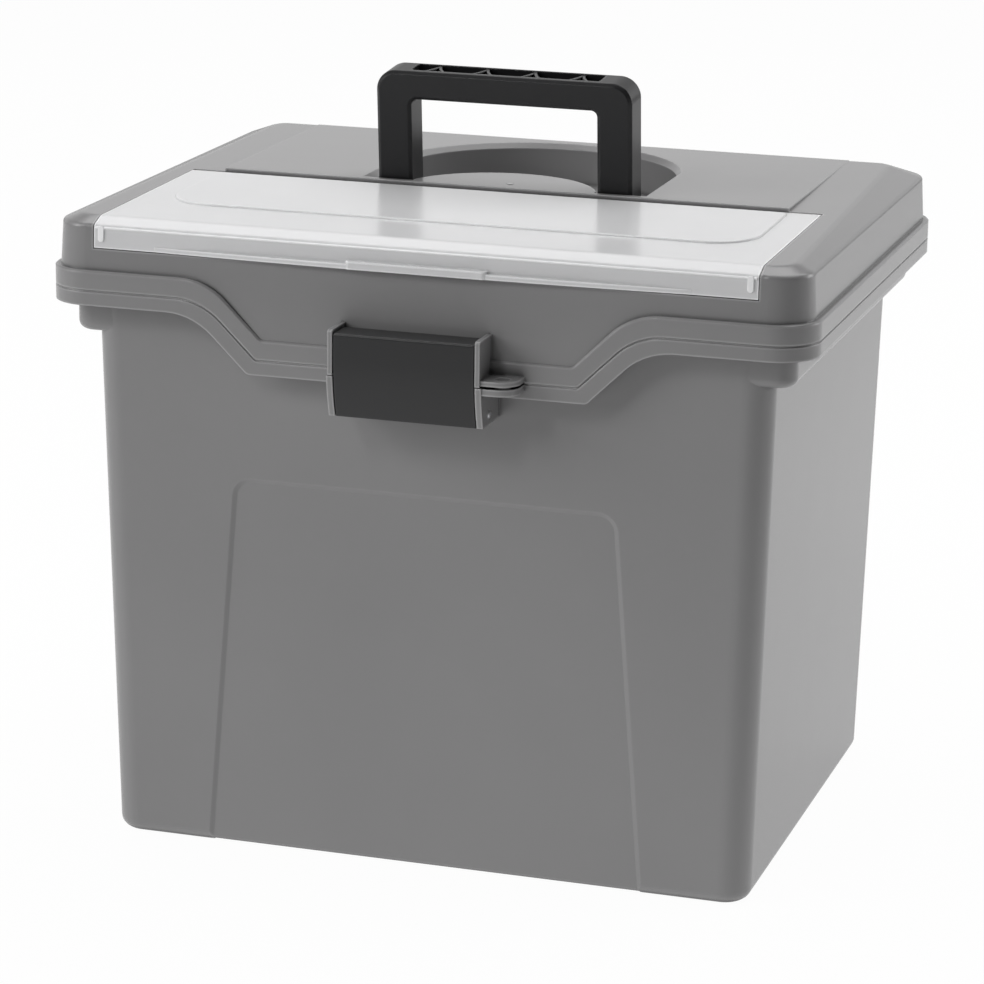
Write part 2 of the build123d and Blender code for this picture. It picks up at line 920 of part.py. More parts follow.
with BuildPart() as lid:
    add(rounded_lid())
    add(flange())
    add(below_dip(parting_height), mode=Mode.SUBTRACT)
    add(edge_groove(parting_height, parting_height + edge_break), mode=Mode.SUBTRACT)
    add(plateau())
    add(lid_cavity(), mode=Mode.SUBTRACT)
    add(organizer_recess(), mode=Mode.SUBTRACT)
    add(wells(), mode=Mode.SUBTRACT)
    add(handle_pocket(), mode=Mode.SUBTRACT)
    # trough of the cover's hinge and the holes of its stub pins
    hinge_at, hinge_up = hinge_line()
    hinge_half = cover_half + cover_gap
    add(
        cylinder_x(cover_barrel + 0.45, hinge_at, hinge_up, -hinge_half, hinge_half),
        mode=Mode.SUBTRACT,
    )
    stub_half = cover_half + cover_stub_length + 0.4
    add(
        cylinder_x(
            cover_stub_radius + pin_clearance, hinge_at, hinge_up,
            -stub_half, stub_half,
        ),
        mode=Mode.SUBTRACT,
    )
    for side in (-1, 1):
        ends = (side * (pocket_half - 1), side * (handle_half + trunnion_reach + 0.4))
        add(
            cylinder_x(
                trunnion_radius + pin_clearance, pivot_y, pivot_z,
                min(ends), max(ends),
            ),
            mode=Mode.SUBTRACT,
        )
        add(upper_bracket(side))
        for span in knuckle_spans(side)[:1]:
            add(knuckle(span, parting_height, parting_height + hinge_knuckle))
    add(
        padlock_tab(
            low_parting + upper_tab_gap, upper_tab_wall,
            bracket_inner + upper_bracket_wall,
        )
    )
lid.part.label = "lid"


# ---------------------------------------------------------------- organizer cover
def cover_lip():
    """Flared lip along the cover's lower edge, with a taller thumb tab."""
    face = front + wall_inset(skirt_bottom)
    with BuildPart() as lip:
        with BuildSketch(Plane.XY.offset(skirt_bottom)):
            with BuildLine():
                ThreePointArc(
                    (-cover_lip_half, face), (0, face - cover_lip_reach),
                    (cover_lip_half, face),
                )
                Polyline(
                    (cover_lip_half, face), (cover_lip_half, face + 1),
                    (-cover_lip_half, face + 1), (-cover_lip_half, face),
                )
            make_face()
        extrude(amount=cover_lip_height)
        with BuildSketch(Plane.XY.offset(skirt_bottom)) as tab:
            with Locations((0, face - cover_lip_reach - cover_tab_reach)):
                Rectangle(
                    2 * cover_tab_half, cover_lip_reach + cover_tab_reach + 1,
                    align=(Align.CENTER, Align.MIN),
                )
            fillet(tab.vertices().group_by(Axis.Y)[0], cover_tab_corner)
        extrude(amount=cover_tab_height)
    return lip.part


def cover_panel():
    """Outline of the panel raised on the cover."""
    with BuildSketch() as outline:
        with Locations((0, cover_panel_front)):
            Rectangle(
                2 * cover_panel_half, cover_panel_depth,
                align=(Align.CENTER, Align.MIN),
            )
        fillet(outline.vertices().group_by(Axis.Y)[0], cover_panel_corner)
        fillet(outline.vertices().group_by(Axis.Y)[-1], 3)
    return outline.sketch


with BuildPart() as organizer_cover:
    hinge_at, hinge_up = hinge_line()
    add(rounded_lid())
    add(lid_solid(cover_wall), mode=Mode.SUBTRACT)
    with BuildSketch(Plane.XY.offset(skirt_bottom)):
        with Locations((0, hinge_at)):
            Rectangle(2 * cover_half, far, align=(Align.CENTER, Align.MAX))
    extrude(amount=far, mode=Mode.INTERSECT)
    # raised panel, of the same wall thickness as the sheet round it
    with BuildPart(mode=Mode.PRIVATE) as raised:
        add(prism(cover_panel(), crease_height, lid_top + 9))
        add(above_top(cover_wall), mode=Mode.INTERSECT)
        add(above_top(-cover_panel_rise), mode=Mode.SUBTRACT)
        edge = raised.faces().sort_by(Axis.Z)[-1]
        chamfer(edge.edges(), cover_panel_rise * 0.6)
    add(raised.part)
    with BuildPart(mode=Mode.PRIVATE) as under:
        add(prism(offset(cover_panel(), -cover_wall), crease_height - 9, lid_top + 9))
        add(above_top(cover_wall - cover_panel_rise), mode=Mode.SUBTRACT)
    add(under.part, mode=Mode.SUBTRACT)
    add(cylinder_x(cover_barrel, hinge_at, hinge_up, -cover_half, cover_half))
    stub = cover_half + cover_stub_length
    add(cylinder_x(cover_stub_radius, hinge_at, hinge_up, -stub, stub))
    add(cover_lip())
organizer_cover.part.label = "organizer_cover"


# ---------------------------------------------------------------- handle
lean = radians(handle_lean)
leaning = Plane(
    origin=(0, pivot_y, pivot_z), x_dir=(1, 0, 0), z_dir=(0, -cos(lean), -sin(lean))
)
foot_radius = handle_thick / 2 - 0.1
grip_top = Plane(
    origin=leaning.from_local_coords((0, handle_rise, 0)),
    x_dir=(1, 0, 0),
    z_dir=(0, -sin(lean), cos(lean)),
)

with BuildPart() as handle:
    with BuildSketch(leaning) as bow:
        with BuildLine():
            FilletPolyline(
                (-handle_half, -foot_radius - 0.1), (-handle_half, handle_rise),
                (handle_half, handle_rise), (handle_half, -foot_radius - 0.1),
                radius=handle_outer_corner,
            )
            Line((handle_half, -foot_radius - 0.1), (grip_half, -foot_radius - 0.1))
            FilletPolyline(
                (grip_half, -foot_radius - 0.1), (grip_half, grip_rise),
                (-grip_half, grip_rise), (-grip_half, -foot_radius - 0.1),
                radius=handle_inner_corner,
            )
            Line((-grip_half, -foot_radius - 0.1), (-handle_half, -foot_radius - 0.1))
        make_face()
    extrude(amount=handle_thick / 2, both=True)
    feet = handle.edges().filter_by(
        lambda e: abs(abs(e.center().X) - (handle_half + grip_half) / 2) < 0.01
        and e.center().Z < pivot_z
    )
    fillet(feet, foot_radius)
    sides = handle.faces().filter_by(
        lambda f: abs(abs(f.normal_at().Y) - cos(lean)) < 0.001
    )
    chamfer(sides.edges(), handle_edge)
    with BuildSketch(grip_top):
        with Locations((0, channel_shift)):
            RectangleRounded(2 * channel_half, channel_width, channel_corner)
    extrude(amount=-channel_depth, mode=Mode.SUBTRACT)
    with BuildSketch(grip_top.offset(-channel_depth - truss_drop)):
        rear_side = channel_shift + channel_width / 2 + truss_wall / 2
        front_side = channel_shift - channel_width / 2 - truss_wall / 2
        middle = (rear_side + front_side) / 2
        for index in range(truss_count):
            apex = (index - (truss_count - 1) / 2) * truss_pitch
            for way in (-1, 1):
                with BuildLine() as leg:
                    ThreePointArc(
                        (apex, rear_side),
                        (apex + way * truss_spread * 0.3, middle),
                        (apex + way * truss_spread, front_side),
                    )
                trace(leg.line, line_width=truss_wall)
    extrude(amount=channel_depth)
    for side in (-1, 1):
        inner = side * (handle_half - 1)
        spacer = side * (pocket_half - spacer_gap)
        tip = side * (handle_half + trunnion_reach)
        add(
            cylinder_x(
                trunnion_shoulder, pivot_y, pivot_z, min(inner, spacer), max(inner, spacer)
            )
        )
        add(
            cylinder_x(
                trunnion_radius, pivot_y, pivot_z, min(inner, tip), max(inner, tip)
            )
        )
handle.part.label = "handle"


# ---------------------------------------------------------------- latch
with BuildPart() as latch:
    start, middle, end = latch_face()
    start_in, middle_in, end_in = latch_face(latch_wall)
    with BuildSketch(Plane.YZ.offset(-latch_half)) as profile:
        with BuildLine():
            ThreePointArc(start, middle, end)
            Line(end, end_in)
            ThreePointArc(start_in, middle_in, end_in)
            Polyline(
                start_in, (start_in[0], latch_top - latch_wall),
                (latch_lip_rear, latch_top - latch_wall), (latch_lip_rear, latch_top),
                (latch_front, latch_top), start,
            )
        make_face()
        fillet(profile.vertices().group_by(Axis.Y)[-1].sort_by(Axis.X)[0], latch_corner)
    extrude(amount=2 * latch_half)
    for side in (-1, 1):
        left, right = sorted((side * latch_half, side * (latch_half - latch_cheek)))
        with BuildSketch(Plane.YZ.offset(left)):
            with BuildLine():
                ThreePointArc(start_in, middle_in, end_in)
                Polyline(
                    end_in, (latch_pin_y, latch_pin_z - latch_barrel),
                    (latch_lip_rear, latch_pin_z),
                    (latch_lip_rear, latch_top - 1), (start_in[0], latch_top - 1),
                    start_in,
                )
            make_face()
        extrude(amount=right - left)
    add(cylinder_x(latch_barrel, latch_pin_y, latch_pin_z, -latch_half, latch_half))
    barrel_bottom = latch_pin_z - latch_barrel
    web = [
        (end_in[0] - 0.4, latch_bottom + 1.2),
        (latch_pin_y, barrel_bottom + 0.2),
        (latch_pin_y, barrel_bottom + 0.2 + latch_web),
        (end_in[0] - 0.4, latch_bottom + 1.4 + latch_web),
    ]
    add(slice_x(web, -latch_half, latch_half))
    add(
        cylinder_x(
            latch_pin_radius + pin_clearance, latch_pin_y, latch_pin_z,
            -latch_half, latch_half,
        ),
        mode=Mode.SUBTRACT,
    )
latch.part.label = "latch"


# ---------------------------------------------------------------- pins
def pin(radius, y, z, middle, half):
    """A plain steel pin, cut square at its ends."""
    return cylinder_x(radius, y, z, middle - half, middle + half)


latch_pin = pin(
    latch_pin_radius, latch_pin_y, latch_pin_z, 0, pin_half + pin_overhang
)
hinge_half_length = hinge_lid_length / 2 + hinge_gap + hinge_tub_length + pin_overhang
left_hinge_pin = pin(
    hinge_pin_radius, hinge_y, parting_height, -hinge_x, hinge_half_length
)
right_hinge_pin = pin(
    hinge_pin_radius, hinge_y, parting_height, hinge_x, hinge_half_length
)
latch_pin.label = "latch_pin"
left_hinge_pin.label = "left_hinge_pin"
right_hinge_pin.label = "right_hinge_pin"

os.makedirs("parts", exist_ok=True)
export_step(tub.part, "parts/tub.step")
export_step(lid.part, "parts/lid.step")
export_step(organizer_cover.part, "parts/organizer_cover.step")
export_step(handle.part, "parts/handle.step")
export_step(latch.part, "parts/latch.step")
export_step(latch_pin, "parts/latch_pin.step")
export_step(left_hinge_pin, "parts/left_hinge_pin.step")
export_step(right_hinge_pin, "parts/right_hinge_pin.step")
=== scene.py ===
# %% [markdown]
# # A portable file box
#
# This notebook dresses a portable file box: a grey moulded tub, a lid with a folding handle,
# a frosted cover over a small organizer, and a black latch. The shapes come from the CAD
# model, which is loaded as a fixed frame. What is made here is everything that light does
# to them: the camera, the studio, the plastics and the small moulded marks.

import math

import bmesh
import bpy
from mathutils import Matrix, Vector


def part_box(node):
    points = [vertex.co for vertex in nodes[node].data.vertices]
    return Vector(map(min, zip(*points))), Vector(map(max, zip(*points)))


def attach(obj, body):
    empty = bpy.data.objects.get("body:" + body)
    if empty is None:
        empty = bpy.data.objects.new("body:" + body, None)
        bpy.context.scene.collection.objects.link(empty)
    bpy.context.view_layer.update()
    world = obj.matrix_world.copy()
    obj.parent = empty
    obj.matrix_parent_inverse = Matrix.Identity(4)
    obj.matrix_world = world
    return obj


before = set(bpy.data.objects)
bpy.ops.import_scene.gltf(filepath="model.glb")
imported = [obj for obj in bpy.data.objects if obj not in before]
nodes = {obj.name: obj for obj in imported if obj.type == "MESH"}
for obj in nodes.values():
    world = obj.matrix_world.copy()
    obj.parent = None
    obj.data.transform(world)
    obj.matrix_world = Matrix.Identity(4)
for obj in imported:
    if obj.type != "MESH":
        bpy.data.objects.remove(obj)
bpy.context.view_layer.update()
scene = bpy.context.scene
print("nodes:", sorted(nodes))

# %% [markdown]
# ## Camera
#
# The picture was taken from a little to the right of the front and slightly above, with a
# long lens, so parallel edges stay nearly parallel. The camera stands on a sphere round a
# point in the middle of the box. Two small shifts sideways and down, and a roll of under a
# degree, put the box where it is in the picture.

# %% Camera
CAMERA_AZIMUTH = 0.302  # radians to the right of the front
CAMERA_ELEVATION = 0.269  # radians above the horizon
CAMERA_ROLL = 0.013
CAMERA_DISTANCE = 1.786058
CAMERA_TARGET = Vector((0, 0, 0.150))
SHIFT_LEFT = 0.005496
SHIFT_DOWN = 0.003853
FOCAL_LENGTH = 3787.68  # in pixels of the picture
PICTURE_WIDTH = 984  # in pixels
SENSOR_WIDTH = 36  # in millimetres
FAR_CLIP = 50

away = Vector(
    (
        math.sin(CAMERA_AZIMUTH) * math.cos(CAMERA_ELEVATION),
        -math.cos(CAMERA_AZIMUTH) * math.cos(CAMERA_ELEVATION),
        math.sin(CAMERA_ELEVATION),
    )
)
right = Vector((math.cos(CAMERA_AZIMUTH), math.sin(CAMERA_AZIMUTH), 0))
up = away.cross(right)
eye = CAMERA_TARGET + away * CAMERA_DISTANCE - right * SHIFT_LEFT - up * SHIFT_DOWN
rolled_right = math.cos(CAMERA_ROLL) * right + math.sin(CAMERA_ROLL) * up
rolled_up = -math.sin(CAMERA_ROLL) * right + math.cos(CAMERA_ROLL) * up

camera_data = bpy.data.cameras.new("studio_camera")
camera_data.sensor_width = SENSOR_WIDTH
camera_data.lens = SENSOR_WIDTH * (FOCAL_LENGTH / PICTURE_WIDTH)
camera_data.clip_end = FAR_CLIP
camera = bpy.data.objects.new("studio_camera", camera_data)
axes = Matrix((rolled_right, rolled_up, away)).transposed().to_4x4()
camera.matrix_world = Matrix.Translation(eye) @ axes
scene.collection.objects.link(camera)
scene.camera = camera
print("lens:", round(camera_data.lens, 2), "mm")

# %% [markdown]
# ## Shader nodes by hand
#
# A material in Blender is a small network of nodes. Four helpers keep the networks below
# short: one links two sockets, one gives a socket either a number or a link, one does a sum
# and one maps a value from one pair of limits to another.

# %% Node helpers
def link(tree, source, target):
    """Connects an output socket to an input socket."""
    tree.links.new(source, target)


def feed(tree, value, target):
    """Gives an input socket a number, or links it to an output socket."""
    if isinstance(value, (int, float)):
        target.default_value = value
    else:
        link(tree, value, target)


def calculated(tree, operation, first, second):
    """A math node on two sockets or numbers; gives its result socket."""
    node = tree.nodes.new("ShaderNodeMath")
    node.operation = operation
    for value, target in zip((first, second), node.inputs):
        feed(tree, value, target)
    return node.outputs[0]


def ranged(tree, value, start, end, first, last):
    """Maps a value between two limits to another pair of limits."""
    node = tree.nodes.new("ShaderNodeMapRange")
    numbers = {"From Min": start, "From Max": end, "To Min": first, "To Max": last}
    for socket, number in numbers.items():
        feed(tree, number, node.inputs[socket])
    link(tree, value, node.inputs["Value"])
    return node.outputs["Result"]


# %% [markdown]
# ## Floor
#
# The floor is matt and pale. A plain white floor would need so much light that the box
# turned pale too. So the floor also glows: nearly in full for the camera, which sees it
# almost white with a faint shadow of the box, and for light that bounces only near the
# box. A Light Path node tells which kind of ray is looking.

# %% Floor
WHITE = (1, 1, 1, 1)
FLOOR_COLOUR = (0.86, 0.86, 0.86, 1)
FLOOR_SIZE = 12
FLOOR_GLOW = 0.97  # share of white in the floor that the camera sees
# the same for light that bounces: where it starts to fade, where it ends, and its share
FLOOR_BOUNCE = {"Is Glossy Ray": (2.0, 4.0, 0.6), "Is Diffuse Ray": (0.33, 0.56, 1.0)}


def floor_material():
    """Matt pale floor: white for the camera, and it bounces most light near the box."""
    material = bpy.data.materials.new("pale_floor")
    material.use_nodes = True
    tree = material.node_tree
    tree.nodes.clear()
    output = tree.nodes.new("ShaderNodeOutputMaterial")
    matt = tree.nodes.new("ShaderNodeBsdfDiffuse")
    matt.inputs["Color"].default_value = FLOOR_COLOUR
    glow = tree.nodes.new("ShaderNodeEmission")
    glow.inputs["Color"].default_value = WHITE
    rays = tree.nodes.new("ShaderNodeLightPath").outputs
    seen = calculated(tree, "MAXIMUM", rays["Is Camera Ray"], rays["Is Transmission Ray"])
    share = calculated(tree, "MULTIPLY", seen, FLOOR_GLOW)
    place = tree.nodes.new("ShaderNodeNewGeometry")
    reach = tree.nodes.new("ShaderNodeVectorMath")
    reach.operation = "LENGTH"
    link(tree, place.outputs["Position"], reach.inputs[0])
    for ray, (near, far, most) in FLOOR_BOUNCE.items():
        fade = ranged(tree, reach.outputs["Value"], near, far, most, 0)
        bounce = calculated(tree, "MULTIPLY", rays[ray], fade)
        share = calculated(tree, "MAXIMUM", share, bounce)
    mix = tree.nodes.new("ShaderNodeMixShader")
    link(tree, share, mix.inputs["Fac"])
    link(tree, matt.outputs[0], mix.inputs[1])
    link(tree, glow.outputs[0], mix.inputs[2])
    link(tree, mix.outputs[0], output.inputs["Surface"])
    return material


floor_mesh = bpy.data.meshes.new("studio_floor")
shape = bmesh.new()
bmesh.ops.create_grid(shape, x_segments=1, y_segments=1, size=FLOOR_SIZE)
shape.to_mesh(floor_mesh)
shape.free()
floor = bpy.data.objects.new("studio_floor", floor_mesh)
scene.collection.objects.link(floor)
floor.data.materials.append(floor_material())
print("floor:", floor.name)

# %% [markdown]
# ## Room and backdrop
#
# Moulded plastic shows its form through what it mirrors. The lid's top is seen at a low
# angle, so it mirrors what stands behind the box, which in a studio is a white backdrop.
# The room in front is dark. Blender's world can play both: for mirrored rays its strength
# depends on their direction, for the camera it is plain white, and otherwise it is dim.

# %% World
WORLD_STRENGTH = 0.09
# the white backdrop in reflections, as parts of a direction of length 1
BACKDROP_TOP = (0.3, 0.6)  # heights between which it fades out
BACKDROP_SIDE = (-0.4, 0.2)  # from the front, where the room is dark, to behind the box
BACKDROP_WHITE = 0.8
ROOM_SHARE = 0.15  # how bright the room in front is, as a share of the backdrop

world = bpy.data.worlds.new("studio_world")
scene.world = world
world.use_nodes = True
sky = world.node_tree
background = sky.nodes["Background"]
background.inputs["Color"].default_value = WHITE
rays = sky.nodes.new("ShaderNodeLightPath").outputs
direction = sky.nodes.new("ShaderNodeTexCoord")
parts = sky.nodes.new("ShaderNodeSeparateXYZ")
link(sky, direction.outputs["Generated"], parts.inputs[0])
low = ranged(sky, parts.outputs["Z"], *BACKDROP_TOP, BACKDROP_WHITE, 0)
behind = ranged(sky, parts.outputs["Y"], *BACKDROP_SIDE, ROOM_SHARE, 1)
backdrop = calculated(sky, "MULTIPLY", low, behind)
mirrored = calculated(sky, "MULTIPLY", rays["Is Glossy Ray"], backdrop)
white = calculated(sky, "MAXIMUM", mirrored, rays["Is Camera Ray"])
strength = calculated(sky, "MAXIMUM", white, WORLD_STRENGTH)
link(sky, strength, background.inputs["Strength"])
print("world strength:", WORLD_STRENGTH)

# %% [markdown]
# ## Lamps
#
# Small lamps would draw hard glints on plastic. These are large and flat, so that their
# reflections are broad and soft. The widest hangs overhead and lights the lid. One stands
# on the right, a little behind the box, so that side is lighter than the front and the
# corner between them stays dark. The key lamp stands well to the left, and a small lamp
# above the camera draws the thin bright lines along the edges.

# %% Lamps
BOX_MIDDLE = (0, 0, 0.15)


def soft_lamp(name, power, width, height, place, aim=BOX_MIDDLE):
    """A broad flat lamp that looks at a point of the box."""
    data = bpy.data.lights.new(name, "AREA")
    data.energy = power
    data.shape = "RECTANGLE"
    data.size = width
    data.size_y = height
    lamp = bpy.data.objects.new(name, data)
    lamp.location = place
    lamp.rotation_euler = (Vector(aim) - Vector(place)).to_track_quat("-Z", "Y").to_euler()
    scene.collection.objects.link(lamp)


def around(azimuth, distance, height):
    """A place round the box, from degrees to the right of its front."""
    turn = math.radians(azimuth)
    return (distance * math.sin(turn), -distance * math.cos(turn), height)


soft_lamp("overhead_lamp", 42, width=2.6, height=2.2, place=(0, 0.8, 2.1), aim=(0, 0.5, 0.25))
soft_lamp("right_lamp", 16.5, width=1.2, height=1.5, place=around(124, 2.3, 0.85))
soft_lamp("key_lamp", 26.5, width=1.3, height=1.3, place=around(-56, 2.3, 1.2))
soft_lamp("edge_lamp", 7, width=0.35, height=0.6, place=around(-22, 1.9, 1.75), aim=(0, 0, 0.2))

# %% [markdown]
# ## Edges and grooves
#
# A moulded edge is never quite sharp. It has a small rounding that catches light, so it
# shows as a thin pale line, while a groove between two parts gets little light and looks
# dark. A Bevel modifier could cut the rounding, but it is only a pixel or two wide here, so
# a Bevel node, which turns the normals over an edge, is enough. An Ambient Occlusion node
# tells how open a place is. Seen from inside the solid, it finds the outer edges instead.
# The pale line and the dark groove are also painted into the colour: a painted highlight on
# the edges and painted shade in the grooves.

# %% Edges and grooves
SHADER_SAMPLES = 6
# the pale line on an edge is a painted highlight in the plastics' colour
EDGE_WIDTH = 0.001  # how far a pale line reaches from its edge
EDGE_OPENNESS = (0.95, 0.6)  # seen from inside, on a face and on an edge
GROOVE_REACH = 0.0035  # how near a neighbour must be to darken a place
GROOVE_OPENNESS = (0.3, 0.8)  # deep in a groove and out of it
# deep in a groove the colour is darkened, as painted shade
GROOVE_SHADE = 0.1  # share of the colour that is left deep in a groove


def soft_edges(tree, radius):
    """Normals that turn smoothly over every sharp edge, as a small rounding does."""
    rounding = tree.nodes.new("ShaderNodeBevel")
    rounding.samples = SHADER_SAMPLES
    rounding.inputs["Radius"].default_value = radius
    return rounding.outputs["Normal"]


def openness(tree, reach, inside=False):
    """1 where nothing lies within reach, less in a groove or, seen from inside, at an edge."""
    cover = tree.nodes.new("ShaderNodeAmbientOcclusion")
    cover.samples = SHADER_SAMPLES
    cover.inside = inside
    cover.only_local = inside
    cover.inputs["Distance"].default_value = reach
    return cover.outputs["AO"]


def edge_share(tree):
    """How much of a sharp outer edge a point is: 0 on a face and 1 on the edge."""
    return ranged(tree, openness(tree, EDGE_WIDTH, inside=True), *EDGE_OPENNESS, 0, 1)


def groove_shade(tree):
    """Painted shade: what is left of a colour, all of it in the open and little in a groove."""
    return ranged(tree, openness(tree, GROOVE_REACH), *GROOVE_OPENNESS, GROOVE_SHADE, 1)


# %% [markdown]
# ## Parts that the materials share
#
# All the finishes here start from the same three things: a Principled shader, a soft noise
# in the object's own coordinates, and a pair of tones that the noise mixes. Object
# coordinates keep the pattern fixed to the piece when it moves.

# %% Material helpers
def new_material(name):
    """A material with nodes; gives it, its tree and its Principled shader."""
    material = bpy.data.materials.new(name)
    material.use_nodes = True
    tree = material.node_tree
    return material, tree, tree.nodes["Principled BSDF"]


def noise(tree, scale, detail, stretch=None):
    """Noise in object coordinates, squeezed along the axes if a stretch is given."""
    place = tree.nodes.new("ShaderNodeTexCoord").outputs["Object"]
    if stretch:
        mapping = tree.nodes.new("ShaderNodeMapping")
        mapping.inputs["Scale"].default_value = stretch
        link(tree, place, mapping.inputs["Vector"])
        place = mapping.outputs["Vector"]
    texture = tree.nodes.new("ShaderNodeTexNoise")
    texture.inputs["Scale"].default_value = scale
    texture.inputs["Detail"].default_value = detail
    link(tree, place, texture.inputs["Vector"])
    return texture.outputs["Fac"]


def two_tones(tree, share, dark, light, limits=(0, 1)):
    """A colour that goes from dark to light while the share goes between the limits."""
    ramp = tree.nodes.new("ShaderNodeValToRGB")
    for stop, limit, colour in zip(ramp.color_ramp.elements, limits, (dark, light)):
        stop.position = limit
        stop.color = (*colour, 1)
    link(tree, share, ramp.inputs["Fac"])
    return ramp.outputs["Color"]


def multiplied(tree, colour, painted_light):
    """A colour darkened or lightened by a number."""
    product = tree.nodes.new("ShaderNodeVectorMath")
    product.operation = "SCALE"
    link(tree, colour, product.inputs[0])
    link(tree, painted_light, product.inputs["Scale"])
    return product.outputs["Vector"]


# %% [markdown]
# ## Plastics
#
# The tub and the lid are moulded from a grey plastic. Close up it is satin, with a very fine
# skin and faint cloudy marks where the plastic flowed. A coarse noise drives a small change
# of colour and of roughness, and a much finer one gives a slight bump. The handle and the
# latch are the same kind of plastic in black, a little duller.

# %% Moulded plastic
CLOUD_SCALE = 9
CLOUD_DETAIL = 3
CLOUD_LIMITS = (0.3, 0.7)  # where most of the noise's values lie
GRAIN_SCALE = 900
FINE_DETAIL = 2
GRAIN_HEIGHT = 0.00012
ROUGHNESS_SPREAD = 0.03
PLASTIC_ROUNDING = 0.0008
EDGE_ROUGHNESS = 0.16
# how much lighter an edge's colour is painted, as a painted highlight
PAINTED_EDGE_HIGHLIGHT = 1.7


def plastic(name, colour, roughness, flow, skin, shine=0.5):
    """Moulded plastic clouded by flow: painted shade in grooves, painted highlight on smooth
    edges.
    """
    material, tree, shader = new_material(name)
    shader.inputs["Specular IOR Level"].default_value = shine

    clouds = noise(tree, CLOUD_SCALE, CLOUD_DETAIL)
    dark = [c * (1 - flow) for c in colour]
    light = [c * (1 + flow) for c in colour]
    tint = two_tones(tree, clouds, dark, light, CLOUD_LIMITS)
    edge = edge_share(tree)
    # painted light in the base colour: painted shade in grooves, a painted highlight on edges
    painted_light = ranged(tree, edge, 0, 1, groove_shade(tree), PAINTED_EDGE_HIGHLIGHT)
    link(tree, multiplied(tree, tint, painted_light), shader.inputs["Base Color"])

    smoothest = roughness - ROUGHNESS_SPREAD
    satin = ranged(tree, clouds, 0, 1, smoothest, roughness + ROUGHNESS_SPREAD)
    polished = ranged(tree, edge, 0, 1, satin, EDGE_ROUGHNESS)
    link(tree, polished, shader.inputs["Roughness"])

    bump = tree.nodes.new("ShaderNodeBump")
    bump.inputs["Strength"].default_value = skin
    bump.inputs["Distance"].default_value = GRAIN_HEIGHT
    link(tree, noise(tree, GRAIN_SCALE, FINE_DETAIL), bump.inputs["Height"])
    link(tree, soft_edges(tree, PLASTIC_ROUNDING), bump.inputs["Normal"])
    link(tree, bump.outputs["Normal"], shader.inputs["Normal"])
    return material


GREY = (0.235, 0.233, 0.235)
HANDLE_BLACK = (0.013, 0.013, 0.014)
LATCH_BLACK = (0.021, 0.021, 0.022)
black_finish = {"roughness": 0.34, "flow": 0.06, "skin": 0.3}
grey_plastic = plastic("grey_moulded_plastic", GREY, roughness=0.22, flow=0.03, skin=0.25)
handle_black = plastic("black_handle_plastic", HANDLE_BLACK, shine=0.35, **black_finish)
latch_black = plastic("black_latch_plastic", LATCH_BLACK, shine=0.4, **black_finish)
print("plastics:", [m.name for m in (grey_plastic, handle_black, latch_black)])

# %% [markdown]
# ## Frosted cover
#
# The organizer's cover is the natural colour of the plastic: milky, with a soft shine. Most
# light comes back out of it white, and a little goes through, so what lies under it shows
# as a faint grey. Frosted glass would be too clear. A mostly white surface with some rough
# transmission does this. Its edges let nothing through and its thick places little, so
# both look whiter. Its edges are also painted a little lighter, as a painted highlight.

# %% Frosted plastic
MILK_DARK = (0.91, 0.91, 0.92)
MILK_LIGHT = (0.94, 0.94, 0.95)
# the edges' colour is painted lighter by this much, as a painted highlight
PAINTED_MILK_EDGE_HIGHLIGHT = 1.03  # how much lighter its edges are
MILK_SCALE = 14
MILK_ROUGHNESS = (0.18, 0.25)
COVER_ROUNDING = 0.0005
COVER_IOR = 1.49


def frosted_plastic(name, clearness):
    """Milky natural plastic that lets some light through, and none at its edges."""
    material, tree, shader = new_material(name)
    shader.inputs["IOR"].default_value = COVER_IOR
    clouds = noise(tree, MILK_SCALE, CLOUD_DETAIL)
    milk = two_tones(tree, clouds, MILK_DARK, MILK_LIGHT, CLOUD_LIMITS)
    edge = edge_share(tree)
    # a painted highlight: the colour is a little lighter on edges
    painted_highlight = ranged(tree, edge, 0, 1, 1, PAINTED_MILK_EDGE_HIGHLIGHT)
    link(tree, multiplied(tree, milk, painted_highlight), shader.inputs["Base Color"])
    clear = ranged(tree, edge, 0, 1, clearness, 0)
    link(tree, clear, shader.inputs["Transmission Weight"])
    gloss = ranged(tree, clouds, 0, 1, *MILK_ROUGHNESS)
    link(tree, gloss, shader.inputs["Roughness"])
    link(tree, soft_edges(tree, COVER_ROUNDING), shader.inputs["Normal"])
    return material


frosted = frosted_plastic("frosted_plastic", clearness=0.3)
thick_frosted = frosted_plastic("thick_frosted_plastic", clearness=0.05)
print("cover:", frosted.name, thick_frosted.name)

# %% [markdown]
# ## Steel pins
#
# The latch and the lid turn on drawn steel pins. Drawn wire has fine lines along its
# length, so the noise that roughens it is stretched along the pin.

# %% Drawn steel
STEEL_DARK = (0.62, 0.62, 0.64)
STEEL_LIGHT = (0.82, 0.82, 0.84)
STEEL_ROUGHNESS = (0.29, 0.42)
STEEL_LINES = (40, 1500, 1500)  # scale of the noise along and across a pin


def drawn_steel():
    """Plain steel wire with fine lines along X."""
    material, tree, shader = new_material("drawn_steel")
    shader.inputs["Metallic"].default_value = 1
    lines = noise(tree, 1, FINE_DETAIL, STEEL_LINES)
    link(tree, two_tones(tree, lines, STEEL_DARK, STEEL_LIGHT), shader.inputs["Base Color"])
    link(tree, ranged(tree, lines, 0, 1, *STEEL_ROUGHNESS), shader.inputs["Roughness"])
    return material


steel = drawn_steel()
print("pins:", steel.name)

# %% [markdown]
# ## Finishes on the CAD pieces
#
# Each piece of the CAD model is one plastic or steel throughout, so it gets one material.
# Its mesh stays as it is.

